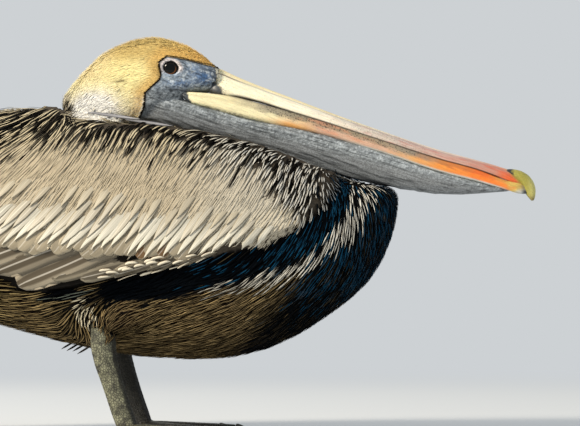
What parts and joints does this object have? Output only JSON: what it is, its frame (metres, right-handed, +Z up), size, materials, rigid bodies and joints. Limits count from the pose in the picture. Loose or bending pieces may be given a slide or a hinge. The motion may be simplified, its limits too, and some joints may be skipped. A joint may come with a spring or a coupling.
{
  "type": "brown pelican",
  "caption": "Life-size brown pelican at rest on both webbed feet, neck folded, long bill laid on its foreneck, wings closed.",
  "frame": {"origin": "centre of the bounding box at floor level, between and a little behind the middle of the feet", "axes": "+X forward along the bill, +Y to the bird's left, +Z up"},
  "size_m": [0.7086, 0.224, 0.3631],
  "materials": {
    "plumage_pale": "short dense buff and cream head feathers",
    "plumage_dark": "flesh under blackish neck and breast feathers with pale streaks",
    "plumage_brown": "flesh under dark brown body feathers with golden brown streaks",
    "plumage_silver": "silver grey lanceolate wing coverts with dark edges",
    "flight_feather": "stiff grey brown flight feathers with pale shafts",
    "pouch_skin": "finely wrinkled dark grey skin",
    "leg_skin": "olive grey scaly skin",
    "bill_horn": "cream to orange horn with a soft sheen",
    "nail_horn": "olive yellow polished horn",
    "claw_horn": "dark horn",
    "eyeball": "wet dark brown eye"
  },
  "bodies": {
    "root": {"head": "plumage_pale", "head_nape": "plumage_pale", "neck_upper": "plumage_dark", "neck_lower": "plumage_dark", "breast": "plumage_dark", "trunk": "plumage_brown", "rump": "plumage_silver", "tail": "flight_feather", "wing_right_coverts": "plumage_silver", "wing_right_secondaries": "flight_feather", "wing_right_primaries": "flight_feather", "wing_left_coverts": "plumage_silver", "wing_left_secondaries": "flight_feather", "wing_left_primaries": "flight_feather", "thigh_right": "plumage_brown", "thigh_left": "plumage_brown", "leg_right": "leg_skin", "leg_left": "leg_skin", "foot_right": "leg_skin", "foot_left": "leg_skin", "claw_right_hind": "claw_horn", "claw_right_inner": "claw_horn", "claw_right_middle": "claw_horn", "claw_right_outer": "claw_horn", "claw_left_hind": "claw_horn", "claw_left_inner": "claw_horn", "claw_left_middle": "claw_horn", "claw_left_outer": "claw_horn", "pouch": "pouch_skin", "bill_upper": "bill_horn", "bill_lower": "bill_horn", "bill_nail": "nail_horn", "eye_right": "eyeball", "eye_left": "eyeball"}
  },
  "joints": []
}
